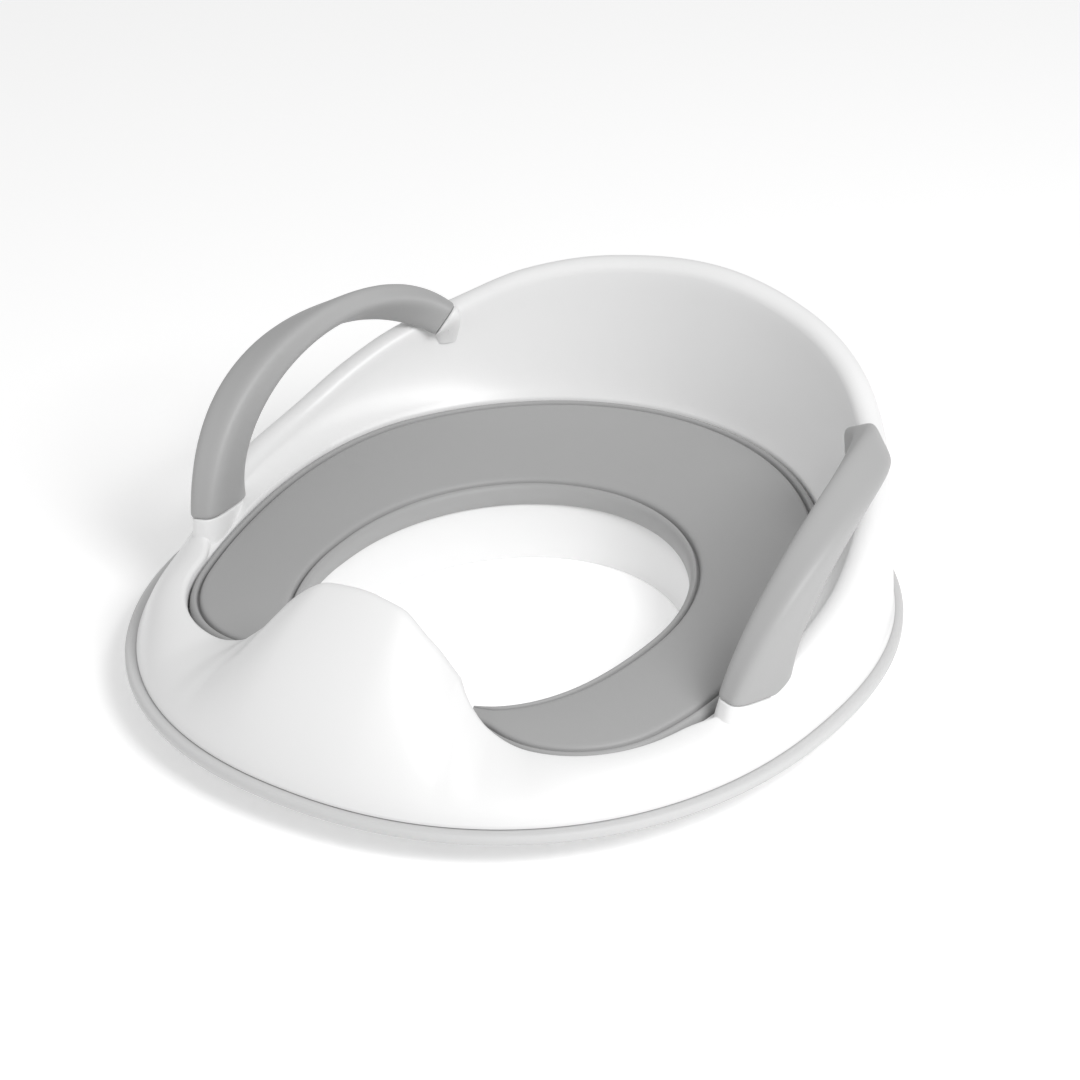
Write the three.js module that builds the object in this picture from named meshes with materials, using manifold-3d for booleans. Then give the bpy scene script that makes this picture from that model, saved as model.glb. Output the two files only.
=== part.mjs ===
// A toddler's toilet training seat: a white moulded shell with a backrest, a domed splash guard and two
// arched handles, a soft horseshoe cushion, and a base plate whose skirt drops into the toilet opening.
// Millimetres. +X is the right side as seen from the splash guard, +Y points to the backrest, +Z is up.
// The origin is under the middle of the seat, at the level of the skirt's lower edge.

import * as THREE from "three";
import { mergeVertices } from "three/addons/utils/BufferGeometryUtils.js";
import Module from "manifold-3d";

const wasm = await Module();
wasm.setup();

// ---------------------------------------------------------------- driving dimensions

const SEAT_WIDTH = 350;
const SEAT_LENGTH = 378;
const SEAT_SQUARENESS = 2.18; // 2 is an ellipse
const SKIRT_DEPTH = 13; // how far the skirt reaches below the rim
const RIM_HEIGHT = 5; // thickness of the anti-slip rim
const RIM_GRIP = 11; // how far the rim reaches in over the base plate
const LEDGE_FRONT = 5.5; // the rim stands this far out past the shell at the front, and at the back
const LEDGE_BACK = 4;
const WALL = 2.5; // wall thickness of the mouldings
const GAP = 0.3; // clearance between touching pieces
const FINEST = 0.01; // details below this size are merged away
const BACK_TOP = 117; // backrest height above the rim's underside

const HOLE = { halfWidth: 84, front: 99, back: 102, middle: -15, squareness: 2.4, backSquareness: 2 };
const CUSHION = { halfWidth: 141, front: 185, back: 168, middle: -8, squareness: 2 };
const CREST = { halfWidth: 161.5, front: 175.5, back: 175.5, middle: 0, squareness: 2.09 }; // upright walls
const SKIRT_SET_BACK = 1.2; // the skirt's inner face behind the cushion's lip
const SKIRT_DRAFT = 1.5;

const LOBE_START = 30; // degrees below the side where the cushion's ends begin to round off
const LOBE_END = 67.5; // degrees below the side where they stop, beside the splash guard

const PLATE_BOTTOM = 0.6; // base plate, above the rim's underside
const PLATE_TOP = 2.6;
const SEAT_FRONT = 22.5; // top of the cushion's outer edge at the front, and at the back
const SEAT_BACK = 40;
const SEAT_INNER = 27; // top of its inner edge, round the hole
const CUSHION_DEPTH = 8.7; // from the cushion's top to the floor of its recess
const CARRIER_DEPTH = 1.6; // thickness of the cushion's stiff carrier
const CARRIER_PLAY = 0.7; // clearance above and below it
const CUSHION_LIP = 2.6; // the cushion's inner lip, which covers the shell's edge
const CUSHION_LIP_DEPTH = 9.8;

const HANDLE_FRONT = new THREE.Vector3(151.4, -34.3, 32.1); // middle of the grip's front end
const HANDLE_RISE = new THREE.Vector3(162.2, -25, 106.6);
const HANDLE_FALL = new THREE.Vector3(158.2, 92.2, 110.7);
const HANDLE_BACK = new THREE.Vector3(118.4, 109.8, 82.3);
const HANDLE_TURN = 90; // degrees the grip's section turns from its front end to its rear end
const COLLAR_FOOT = new THREE.Vector3(117.8, 112, 58); // where the rear collar dies into the backrest
const FRONT_REACH = 12; // how far the handle's core goes into the shell, in front and behind
const REAR_REACH = 5;
const BOSS_BOTTOM = 16;
const SCREW_SPACING = 14;

const SCREW_SHANK = 1.7;
const SCREW_HEAD = 3.5;
const SCREW_LENGTH = 12;
const BASE_SCREWS = 8;
const STUDS = 6;
const STEP = 5; // degrees between sections round the seat

// Sections of the shell, by angle from the seat's side: -90 is the front, 90 the back. height is the
// crest's, lip is the crest's radius, upright is 1 where the crest is a wall and 0 where it borders the
// recess, turn is where the outer face meets the lip (0 at its outer side, 90 on top), foot is the outer
// face's slope at the rim, and swell and drop are how long it keeps each of those two directions.
const SECTIONS = [
  { angle: -90, height: 77, lip: 6, offset: 8, upright: 0, turn: 60, foot: 76, swell: 30, drop: 28 },
  { angle: -81, height: 75, lip: 6, offset: 9.5, upright: 0, turn: 60, foot: 76, swell: 29, drop: 27 },
  { angle: -73, height: 62, lip: 6, offset: 13, upright: 0, turn: 62, foot: 75, swell: 24, drop: 22 },
  { angle: -67, height: 44.5, lip: 5, offset: 13, upright: 0, turn: 68, foot: 72, swell: 19, drop: 17 },
  { angle: -61, height: 29.5, lip: 4, offset: 7, upright: 0, turn: 78, foot: 68, swell: 14, drop: 13 },
  { angle: -54, height: 24.5, lip: 3, offset: 3.5, upright: 0, turn: 90, foot: 66, swell: 11, drop: 12 },
  { angle: -27, height: 25, lip: 3, offset: 3.5, upright: 0, turn: 90, foot: 68, swell: 12, drop: 11 },
  { angle: -14, height: 31, lip: 4.5, offset: 8, upright: 0.7, turn: 50, foot: 64, swell: 14, drop: 8 },
  { angle: -3, height: 41, lip: 6, offset: 12, upright: 1, turn: 10, foot: 64, swell: 15, drop: 12 },
  { angle: 13, height: 51, lip: 6.3, offset: 12, upright: 1, turn: 0, foot: 74, swell: 15, drop: 16 },
  { angle: 26, height: 66, lip: 6.5, offset: 12, upright: 1, turn: 0, foot: 84, swell: 20, drop: 20 },
  { angle: 33, height: 75, lip: 6.5, offset: 12, upright: 1, turn: 0, foot: 88, swell: 28, drop: 22 },
  { angle: 46, height: 89, lip: 6.5, offset: 12, upright: 1, turn: 0, foot: 89, swell: 34, drop: 24 },
  { angle: 57, height: 101.5, lip: 6.5, offset: 12, upright: 1, turn: 0, foot: 89, swell: 36, drop: 28 },
  { angle: 71, height: 111, lip: 6.5, offset: 12, upright: 1, turn: 0, foot: 89, swell: 38, drop: 34 },
  { angle: 90, height: BACK_TOP, lip: 6.5, offset: 12, upright: 1, turn: 0, foot: 89, swell: 38, drop: 38 },
];

const WHITE = new THREE.MeshStandardMaterial({ color: 0xf0f0f0, roughness: 0.35, metalness: 0 });
const RUBBER = new THREE.MeshStandardMaterial({ color: 0xb5b5b6, roughness: 0.6, metalness: 0 });
const CUSHION_GREY = new THREE.MeshStandardMaterial({ color: 0x9a9a9b, roughness: 0.55, metalness: 0 });
const GRIP_GREY = new THREE.MeshStandardMaterial({ color: 0x9c9c9d, roughness: 0.5, metalness: 0 });
const CARRIER_WHITE = new THREE.MeshStandardMaterial({ color: 0xdcdcdc, roughness: 0.5, metalness: 0 });
const STEEL = new THREE.MeshStandardMaterial({ color: 0xb9bcc0, roughness: 0.3, metalness: 1 });

// ---------------------------------------------------------------- curves and outlines

const radians = THREE.MathUtils.degToRad;
const mix = THREE.MathUtils.lerp;
const clamp = THREE.MathUtils.clamp;

// Angle from the seat's side, -90 at the front and 90 at the back, the same on the left and right.
function sideAngle(direction) {
  return THREE.MathUtils.radToDeg(Math.atan2(Math.sin(direction), Math.abs(Math.cos(direction))));
}

// Distance from the seat's middle to an egg-shaped outline, in one direction.
function eggRadius(direction, egg) {
  let near = 0;
  let far = 400;
  for (let i = 0; i < 40; i += 1) {
    const middle = (near + far) / 2;
    const x = Math.abs(middle * Math.cos(direction)) / egg.halfWidth;
    const along = middle * Math.sin(direction) - egg.middle;
    const power = along < 0 ? egg.squareness : Math.min(egg.squareness, egg.backSquareness ?? 9);
    const y = Math.abs(along) / (along < 0 ? egg.front : egg.back);
    if (x ** power + y ** power < 1) {
      near = middle;
    } else {
      far = middle;
    }
  }
  return near;
}

function rimRadius(direction) {
  const half = SEAT_LENGTH / 2;
  const outline = { halfWidth: SEAT_WIDTH / 2, front: half, back: half, middle: 0 };
  return eggRadius(direction, { ...outline, squareness: SEAT_SQUARENESS });
}

const holeRadius = (direction) => eggRadius(direction, HOLE);

// The cushion's outer edge: an egg whose two front ends round off to the hole beside the splash guard.
function cushionRadius(direction) {
  const full = eggRadius(direction, CUSHION);
  const hole = holeRadius(direction);
  const past = clamp((-sideAngle(direction) - LOBE_START) / (LOBE_END - LOBE_START), 0, 1);
  return hole + (full - hole) * (1 - past ** 2.1) ** 0.95;
}

// Height of the cushion's top at its outer edge, which rises from the front to the backrest, and at the
// hole.
function outerTop(direction) {
  return mix(SEAT_FRONT, SEAT_BACK, THREE.MathUtils.smoothstep(sideAngle(direction), -40, 34));
}

function innerTop(direction) {
  return mix(SEAT_INNER - 3, SEAT_INNER, THREE.MathUtils.smoothstep(sideAngle(direction), -60, -20));
}

// Height of the recess's floor under the cushion, at a radius.
function floorHeight(direction, r) {
  const inner = holeRadius(direction) + CUSHION_LIP;
  const outer = Math.max(cushionRadius(direction), inner + 1);
  return mix(innerTop(direction), outerTop(direction), (r - inner) / (outer - inner)) - CUSHION_DEPTH;
}

// How far the rim stands out past the shell.
function ledge(direction) {
  return mix(LEDGE_FRONT, LEDGE_BACK, THREE.MathUtils.smoothstep(sideAngle(direction), 0, 40));
}

// Value of one field of the shell's sections at an angle, on a smooth curve that never overshoots.
function sectionValue(field, angle) {
  const count = SECTIONS.length;
  let i = 0;
  while (i < count - 2 && SECTIONS[i + 1].angle < angle) {
    i += 1;
  }
  const slope = (k) => {
    const run = SECTIONS[k + 1].angle - SECTIONS[k].angle;
    return (SECTIONS[k + 1][field] - SECTIONS[k][field]) / run;
  };
  const tangent = (k) => {
    if (k === 0 || k === count - 1) {
      return 0;
    }
    const before = slope(k - 1);
    const after = slope(k);
    return before * after <= 0 ? 0 : 2 * before * after / (before + after);
  };
  const run = SECTIONS[i + 1].angle - SECTIONS[i].angle;
  const t = clamp((angle - SECTIONS[i].angle) / run, 0, 1);
  const a = SECTIONS[i][field];
  const b = SECTIONS[i + 1][field];
  const blend = t * t * (3 - 2 * t);
  return mix(a, b, blend) + run * t * (1 - t) * (tangent(i) * (1 - t) - tangent(i + 1) * t);
}

function bezier(points, t) {
  const s = 1 - t;
  const weights = [s * s * s, 3 * s * s * t, 3 * s * t * t, t * t * t];
  const sum = (axis) => points.reduce((total, point, i) => total + point[axis] * weights[i], 0);
  return [sum(0), sum(1)];
}

// ---------------------------------------------------------------- solids

// Joins loops of points, each to the next and the last to the first, into one closed ring.
function ringOfLoops(loops) {
  const size = loops[0].length;
  const positions = loops.flat(2);
  const faces = [];
  loops.forEach((_, i) => {
    const here = i * size;
    const next = ((i + 1) % loops.length) * size;
    for (let j = 0; j < size; j += 1) {
      const k = (j + 1) % size;
      faces.push(here + j, next + j, next + k, here + j, next + k, here + k);
    }
  });
  const geometry = new THREE.BufferGeometry();
  geometry.setAttribute("position", new THREE.Float32BufferAttribute(positions, 3));
  geometry.setIndex(faces);
  return geometry;
}

// Joins loops of points into one closed body with a flat face on each end.
function capLoops(loops, flat) {
  const size = loops[0].length;
  const faces = [];
  for (let i = 0; i < loops.length - 1; i += 1) {
    for (let j = 0; j < size; j += 1) {
      const k = (j + 1) % size;
      const here = i * size;
      const next = here + size;
      faces.push(here + j, next + j, next + k, here + j, next + k, here + k);
    }
  }
  const cap = THREE.ShapeUtils.triangulateShape(flat.map(([u, v]) => new THREE.Vector2(u, v)), []);
  const last = (loops.length - 1) * size;
  cap.forEach(([a, b, c]) => {
    faces.push(a, b, c);
    faces.push(last + a, last + c, last + b);
  });
  const geometry = new THREE.BufferGeometry();
  geometry.setAttribute("position", new THREE.Float32BufferAttribute(loops.flat(2), 3));
  geometry.setIndex(faces);
  return geometry;
}

// Turns a closed mesh the right way out.
function outward(geometry) {
  const position = geometry.getAttribute("position");
  const index = geometry.getIndex().array;
  const corner = (i) => new THREE.Vector3().fromBufferAttribute(position, index[i]);
  let volume = 0;
  for (let i = 0; i < index.length; i += 3) {
    volume += corner(i).dot(corner(i + 1).cross(corner(i + 2)));
  }
  if (volume < 0) {
    for (let i = 0; i < index.length; i += 3) {
      const first = index[i];
      index[i] = index[i + 1];
      index[i + 1] = first;
    }
  }
  return geometry;
}

// Directions of the sections round the seat, with closer ones where the cushion's ends stop.
const stations = [-LOBE_END, -LOBE_END + 1.5, 180 + LOBE_END - 1.5, 180 + LOBE_END];
for (let angle = -90; angle < 270; angle += STEP) {
  stations.push(angle);
}
stations.sort((a, b) => a - b);

function loopsOf(section, angles) {
  return angles.map((angle) => {
    const direction = radians(angle);
    return section(direction).map(
      ([r, z]) => [r * Math.cos(direction), r * Math.sin(direction), z + SKIRT_DEPTH],
    );
  });
}

// A ring round the seat, from its cross-section in each direction as [radius, height] points.
function seatRing(section) {
  return outward(ringOfLoops(loopsOf(section, stations)));
}

// The same, as a horseshoe from one angle round the back to its mirror image.
function horseshoe(section, start) {
  const angles = stations.filter((angle) => angle > start + 0.5 && angle < 179.5 - start);
  return outward(capLoops(loopsOf(section, [start, ...angles, 180 - start]), section(radians(start))));
}

function manifold(geometry) {
  const plain = geometry.clone();
  plain.deleteAttribute("normal");
  plain.deleteAttribute("uv");
  const merged = mergeVertices(plain, 1e-4);
  const mesh = new wasm.Mesh({
    numProp: 3,
    vertProperties: new Float32Array(merged.getAttribute("position").array),
    triVerts: new Uint32Array(merged.getIndex().array),
  });
  return new wasm.Manifold(mesh);
}

function geometryOf(solid) {
  const mesh = solid.getMesh();
  const geometry = new THREE.BufferGeometry();
  geometry.setAttribute("position", new THREE.BufferAttribute(new Float32Array(mesh.vertProperties), 3));
  geometry.setIndex(new THREE.BufferAttribute(new Uint32Array(mesh.triVerts), 1));
  return geometry;
}

// An upright turned solid from [radius, height] points that start and end on the axis.
function turned(points, x, y, segments = 12) {
  const profile = points.map(([r, z]) => new THREE.Vector2(r, z));
  const geometry = new THREE.LatheGeometry(profile, segments);
  geometry.rotateX(Math.PI / 2);
  geometry.translate(x, y, 0);
  return geometry;
}

function post(radius, bottom, top, x, y, segments = 12) {
  return turned([[0, bottom], [radius, bottom], [radius, top], [0, top]], x, y, segments);
}

// ---------------------------------------------------------------- the shell

function shellFrame(direction) {
  const angle = sideAngle(direction);
  const value = (field) => sectionValue(field, angle);
  const recess = cushionRadius(direction) + GAP + 0.2;
  const lip = value("lip");
  const crest = mix(recess + value("offset"), eggRadius(direction, CREST), value("upright"));
  const height = value("height");
  const turn = radians(value("turn"));
  const foot = radians(value("foot"));
  const start = [rimRadius(direction) - ledge(direction), RIM_HEIGHT + GAP];
  const edge = [start[0] - 0.8, start[1] + 2.2];
  const end = [crest + lip * Math.cos(turn), height - lip + lip * Math.sin(turn)];
  const outer = [
    edge,
    [edge[0] - value("swell") * Math.cos(foot), edge[1] + value("swell") * Math.sin(foot)],
    [end[0] + value("drop") * Math.sin(turn), end[1] - value("drop") * Math.cos(turn)],
    end,
  ];
  return { angle, recess, lip, crest, height, turn, start, outer };
}

// The shell's cross-section: up the outside, over the crest, down into the recess, along its floor to
// the hole, down and round the skirt, and back underneath at the wall's thickness.
function shellSection(direction) {
  const { angle, recess, lip, crest, height, turn, start, outer } = shellFrame(direction);
  const horseshoeHere = -angle < LOBE_END;
  const hole = holeRadius(direction);
  const outside = [start];
  const outerSteps = 6;
  for (let i = 0; i < outerSteps; i += 1) {
    outside.push(bezier(outer, i / outerSteps));
  }
  const lipSteps = 3;
  const round = (radius, share) => {
    const around = mix(turn, Math.PI, share);
    return [crest + radius * Math.cos(around), height - lip + radius * Math.sin(around)];
  };
  for (let i = 0; i <= lipSteps; i += 1) {
    outside.push(round(lip, i / lipSteps));
  }
  const edgeTop = Math.min(outerTop(direction) + 0.4, height - lip - 0.5);
  const faceTop = [crest - lip, height - lip];
  const skirtTop = innerTop(direction) - CUSHION_LIP_DEPTH - GAP;
  const skirt = hole + SKIRT_SET_BACK;
  const recessTop = [skirt + 1, skirtTop + 6];
  if (horseshoeHere) {
    recessTop[0] = Math.min(recess + 0.8, faceTop[0] - 0.1);
    recessTop[1] = edgeTop;
  }
  const face = [
    faceTop,
    [faceTop[0] - 0.2, mix(faceTop[1], recessTop[1], 0.4)],
    [mix(faceTop[0], recessTop[0], 0.55), mix(faceTop[1], recessTop[1], 0.85)],
    recessTop,
  ];
  const shelf = hole + CUSHION_LIP + GAP;
  const floorEnd = Math.max(Math.min(recess, recessTop[0] - 0.05), shelf + 0.2);
  const outerFloor = floorHeight(direction, floorEnd);
  const innerFloor = floorHeight(direction, shelf);
  const inside = [bezier(face, 0.33), bezier(face, 0.67), recessTop];
  if (horseshoeHere) {
    inside.push([floorEnd, outerFloor], [shelf, innerFloor], [shelf - 0.1, skirtTop]);
  } else {
    inside.push([skirt + 0.6, skirtTop + 4], [skirt + 0.4, skirtTop + 2], [skirt + 0.2, skirtTop + 1]);
  }
  const skirtFoot = skirt - SKIRT_DRAFT;
  inside.push([skirt, skirtTop], [skirtFoot, -SKIRT_DEPTH], [skirtFoot + 2, -SKIRT_DEPTH]);
  const thin = lip - WALL;
  const underEnd = Math.max(floorEnd + WALL, skirt + 2 * WALL);
  const underOuter = horseshoeHere ? outerFloor - WALL : skirtTop - WALL;
  const underInner = horseshoeHere ? innerFloor - WALL : skirtTop - WALL - 0.5;
  const under = [
    [skirt + WALL + 0.4, underInner],
    [underEnd, underOuter],
    [Math.min(underEnd + 0.3, crest - thin - 0.1), Math.min(edgeTop, height - lip) - 1],
  ];
  for (let i = 0; i <= 2; i += 1) {
    const [r, z] = round(thin, 1 - i / 2);
    under.push([r, z - 0.2]);
  }
  const innerSteps = 4;
  for (let i = innerSteps - 1; i >= 0; i -= 1) {
    const t = i / innerSteps;
    const here = bezier(outer, t);
    const ahead = bezier(outer, t + 0.02);
    const length = Math.hypot(ahead[0] - here[0], ahead[1] - here[1]);
    const normal = [-(ahead[1] - here[1]) / length, (ahead[0] - here[0]) / length];
    under.push([here[0] + WALL * normal[0], here[1] + WALL * normal[1]]);
  }
  under.push([start[0] - WALL - 0.4, start[1]]);
  return [...outside, ...inside, ...under];
}

// ---------------------------------------------------------------- the handles

const handlePath = new THREE.CubicBezierCurve3(HANDLE_FRONT, HANDLE_RISE, HANDLE_FALL, HANDLE_BACK);

// Position, direction and cross axes of the right handle's middle line. Past either end it runs straight.
function handleFrame(t) {
  const held = clamp(t, 0, 1);
  const point = handlePath.getPoint(held);
  const along = handlePath.getTangent(held);
  point.addScaledVector(along, (t - held) * handlePath.getLength());
  const out = new THREE.Vector3(point.x / CREST.halfWidth ** 2, point.y / CREST.back ** 2, 0).normalize();
  out.addScaledVector(along, -out.dot(along)).normalize();
  const roll = radians(HANDLE_TURN) * held ** 2.2;
  out.applyAxisAngle(along, roll);
  const over = new THREE.Vector3().crossVectors(along, out).normalize();
  return { point, out, over };
}

// Half sizes of the grip's section. Its front foot is long along the seat's side.
function gripSize(t) {
  const front = 1 - t;
  return [7.7 * front ** 3 + 33.9 * front * t + 8.7 * t ** 3, 6 + 13.9 * front ** 3.7 + 0.6 * t ** 4];
}

function coreSize(t) {
  const front = 1 - clamp(t, 0, 1);
  return [4.3, 3.6 + 7.4 * front ** 4];
}

// A solid along the handle, with a soft-cornered section of the size given at each place.
function handleSweep(size, from, to, steps, corners, grow) {
  const loops = [];
  const flat = [];
  for (let i = 0; i <= steps; i += 1) {
    const t = mix(from, to, i / steps);
    const { point, out, over } = handleFrame(t);
    const [across, deep] = size(t);
    const loop = [];
    for (let j = 0; j < corners; j += 1) {
      const angle = 2 * Math.PI * (j + 0.5) / corners;
      const c = Math.cos(angle);
      const s = Math.sin(angle);
      const round = (Math.abs(c) ** 2.8 + Math.abs(s) ** 2.8) ** (-1 / 2.8);
      const place = point.clone();
      place.addScaledVector(out, (across + grow) * round * c);
      place.addScaledVector(over, (deep + grow) * round * s);
      loop.push(place.toArray());
      if (i === 0) {
        flat.push([c, s]);
      }
    }
    loops.push(loop);
  }
  return manifold(outward(capLoops(loops, flat)));
}

const gripSizeHeld = (t) => gripSize(clamp(t, 0, 1));
const handleLength = handlePath.getLength();
const reach = FRONT_REACH / handleLength;
const seam = GAP / handleLength;

// The shell's boss under the grip's front end widens a little on its way down.
const bossSize = (t) => {
  const [across, deep] = gripSize(0);
  const spread = -t * handleLength * 0.05;
  return [across + spread, deep + spread];
};

function handleScrewPlaces(side) {
  const { point } = handleFrame(-0.7 * reach);
  return [-1, 1].map((way) => [side * point.x, point.y + way * SCREW_SPACING / 2]);
}

// ---------------------------------------------------------------- bodies made by cutting and joining

const baseScrewPlaces = [];
for (let i = 0; i < BASE_SCREWS; i += 1) {
  const direction = 2 * Math.PI * (i + 0.5) / BASE_SCREWS;
  const r = rimRadius(direction) - 18.5;
  baseScrewPlaces.push({ direction, x: r * Math.cos(direction), y: r * Math.sin(direction) });
}

const studPlaces = [];
for (let i = 0; i < STUDS; i += 1) {
  const direction = radians(mix(-40, 220, i / (STUDS - 1)));
  const r = (holeRadius(direction) + cushionRadius(direction)) / 2;
  const floor = floorHeight(direction, r);
  studPlaces.push({ x: r * Math.cos(direction), y: r * Math.sin(direction), floor });
}

const lift = (height) => height + SKIRT_DEPTH;

function rib(direction) {
  const inner = Math.min(cushionRadius(direction), rimRadius(direction) - 20) - 3;
  const outer = rimRadius(direction) - ledge(direction) - 2;
  const geometry = new THREE.BoxGeometry(outer - inner, 2, 4);
  geometry.translate((inner + outer) / 2, 0, lift(RIM_HEIGHT + GAP + 2.2));
  geometry.rotateZ(direction);
  return manifold(geometry);
}

const mirrored = (solid, side) => (side > 0 ? solid : solid.mirror([1, 0, 0]));
const raised = (solid) => solid.translate(0, 0, SKIRT_DEPTH);

function coreSolid(grow) {
  const end = 1 + (REAR_REACH + grow) / handleLength;
  return raised(handleSweep(coreSize, -reach - grow / handleLength, end, 18, 10, grow));
}

// The room the cushion needs over the recess's floor.
function recessRoom(direction) {
  const inner = holeRadius(direction) + CUSHION_LIP + GAP;
  const outer = Math.max(cushionRadius(direction) + GAP + 0.1, inner + 0.1);
  return [
    [inner, floorHeight(direction, inner) + 0.1],
    [outer, floorHeight(direction, outer) + 0.1],
    [outer, 90],
    [inner, 90],
  ];
}

function shellSolid() {
  let solid = manifold(seatRing(shellSection));
  baseScrewPlaces.forEach(({ direction, x, y }) => {
    const bottom = lift(PLATE_TOP + GAP);
    solid = solid.add(rib(direction)).add(manifold(post(4, bottom, lift(10.5), x, y)));
    solid = solid.subtract(manifold(post(SCREW_SHANK + GAP, bottom - 1, lift(9.6), x, y)));
  });
  const low = -(HANDLE_FRONT.z - BOSS_BOTTOM + 6) / handleLength;
  const boss = raised(handleSweep(bossSize, low, -seam, 2, 20, 0)).trimByPlane([0, 0, 1], lift(BOSS_BOTTOM));
  const collarTop = handleSweep(gripSizeHeld, 1 + seam, 1 + (REAR_REACH + 3) / handleLength, 1, 20, 0);
  const collarFoot = wasm.Manifold.sphere(6, 12).rotate([20, 35, 10]).translate(COLLAR_FOOT.toArray());
  const collar = raised(wasm.Manifold.hull([collarTop, collarFoot]));
  const room = manifold(horseshoe(recessRoom, -LOBE_END + 4));
  [1, -1].forEach((side) => {
    solid = solid.add(mirrored(boss.subtract(room), side));
    solid = solid.add(mirrored(collar, side));
    solid = solid.subtract(mirrored(coreSolid(GAP), side));
    handleScrewPlaces(side).forEach(([x, y]) => {
      const hole = post(SCREW_SHANK + GAP, lift(BOSS_BOTTOM - 2), lift(HANDLE_FRONT.z - 4), x, y);
      solid = solid.subtract(manifold(hole));
    });
  });
  studPlaces.forEach(({ x, y, floor }) => {
    solid = solid.subtract(manifold(post(3 + GAP, lift(floor - 5), lift(floor + 3), x, y)));
  });
  return solid.simplify(FINEST);
}

const shell = shellSolid();

function largestPiece(solid) {
  const pieces = solid.decompose();
  return pieces.reduce((best, piece) => (piece.volume() > best.volume() ? piece : best));
}

function gripSolid(side) {
  let solid = raised(handleSweep(gripSize, 0, 1, 20, 16, 0));
  solid = mirrored(solid.subtract(coreSolid(GAP)), side);
  [[0, 0, 0], [0, 0, GAP], [GAP, 0, 0], [-GAP, 0, 0], [0, -GAP, 0], [0, GAP, 0]].forEach((offset) => {
    solid = solid.subtract(shell.translate(offset));
  });
  return largestPiece(solid);
}

function handleCore(side) {
  let solid = mirrored(coreSolid(0), side);
  handleScrewPlaces(side).forEach(([x, y]) => {
    const hole = post(SCREW_SHANK + GAP, 0, lift(BOSS_BOTTOM + SCREW_LENGTH + 2), x, y);
    solid = solid.subtract(manifold(hole));
  });
  return solid;
}

function baseSection(direction) {
  const rim = rimRadius(direction);
  const inner = holeRadius(direction) + SKIRT_SET_BACK + WALL + GAP;
  return [
    [rim - RIM_GRIP - 0.4, PLATE_BOTTOM],
    [rim - RIM_GRIP - 0.4, 2],
    [rim - 6.5, 2],
    [rim - 6.5, 3.4],
    [rim - 13.5, 3.4],
    [rim - 14.3, PLATE_TOP],
    [inner, PLATE_TOP],
    [inner, PLATE_BOTTOM],
  ];
}

function baseSolid() {
  let solid = manifold(seatRing(baseSection));
  baseScrewPlaces.forEach(({ x, y }) => {
    const countersink = [
      [0, lift(PLATE_BOTTOM - 1)],
      [SCREW_HEAD + GAP, lift(PLATE_BOTTOM - 1)],
      [SCREW_HEAD + GAP, lift(PLATE_BOTTOM + 0.1)],
      [SCREW_SHANK + GAP, lift(PLATE_BOTTOM + 1.7)],
      [SCREW_SHANK + GAP, lift(PLATE_TOP + 1)],
      [0, lift(PLATE_TOP + 1)],
    ];
    solid = solid.subtract(manifold(turned(countersink, x, y)));
  });
  return solid;
}

// ---------------------------------------------------------------- rings and the cushion

function rimSection(direction) {
  const rim = rimRadius(direction);
  return [
    [rim - RIM_GRIP, 0],
    [rim - 0.8, 0],
    [rim, 0.8],
    [rim, RIM_HEIGHT - 0.8],
    [rim - 0.8, RIM_HEIGHT],
    [rim - RIM_GRIP, RIM_HEIGHT],
    [rim - RIM_GRIP, 3.7],
    [rim - 6.2, 3.7],
    [rim - 6.2, 1.7],
    [rim - RIM_GRIP, 1.7],
  ];
}

function cushionSection(direction) {
  const outer = cushionRadius(direction);
  const inner = holeRadius(direction);
  const carrier = CARRIER_DEPTH + 2 * CARRIER_PLAY;
  const outerEdge = outerTop(direction);
  const innerEdge = innerTop(direction);
  const lipFoot = innerEdge - CUSHION_LIP_DEPTH;
  const edge = Math.max(outer - 2.2, inner + CUSHION_LIP + 0.5);
  const wide = Math.max(outer, edge + 0.5);
  return [
    [inner, lipFoot],
    [inner + CUSHION_LIP, lipFoot],
    [inner + CUSHION_LIP, floorHeight(direction, inner + CUSHION_LIP) + carrier],
    [edge, floorHeight(direction, edge) + carrier],
    [edge, floorHeight(direction, edge) + GAP],
    [wide, floorHeight(direction, wide) + GAP],
    [wide, outerEdge - 2.2],
    [wide - 0.9, outerEdge - 0.3],
    [(inner + 2 * wide) / 3, mix(innerEdge, outerEdge, 0.67) + 0.9],
    [(2 * inner + wide) / 3, mix(innerEdge, outerEdge, 0.33) + 0.9],
    [inner + 1.8, innerEdge],
    [inner, innerEdge - 2],
  ];
}

function carrierSection(direction) {
  const inner = holeRadius(direction) + CUSHION_LIP + GAP;
  const outer = cushionRadius(direction) - 2.2 - GAP;
  const innerFloor = floorHeight(direction, inner) + CARRIER_PLAY;
  const outerFloor = floorHeight(direction, outer) + CARRIER_PLAY;
  return [
    [inner, innerFloor],
    [outer, outerFloor],
    [outer, outerFloor + CARRIER_DEPTH],
    [inner, innerFloor + CARRIER_DEPTH],
  ];
}

function carrierSolid() {
  let solid = manifold(horseshoe(carrierSection, -55));
  studPlaces.forEach(({ x, y, floor }) => {
    solid = solid.add(manifold(post(3, lift(floor - 4), lift(floor + CARRIER_PLAY + 0.8), x, y)));
  });
  return solid;
}

// ---------------------------------------------------------------- screws

function countersunkScrew({ x, y }) {
  const head = lift(PLATE_BOTTOM + 0.1);
  return turned([
    [0, head],
    [SCREW_HEAD, head],
    [SCREW_SHANK, head + 1.7],
    [SCREW_SHANK, head + 7],
    [0, head + 8.6],
  ], x, y, 12);
}

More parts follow.
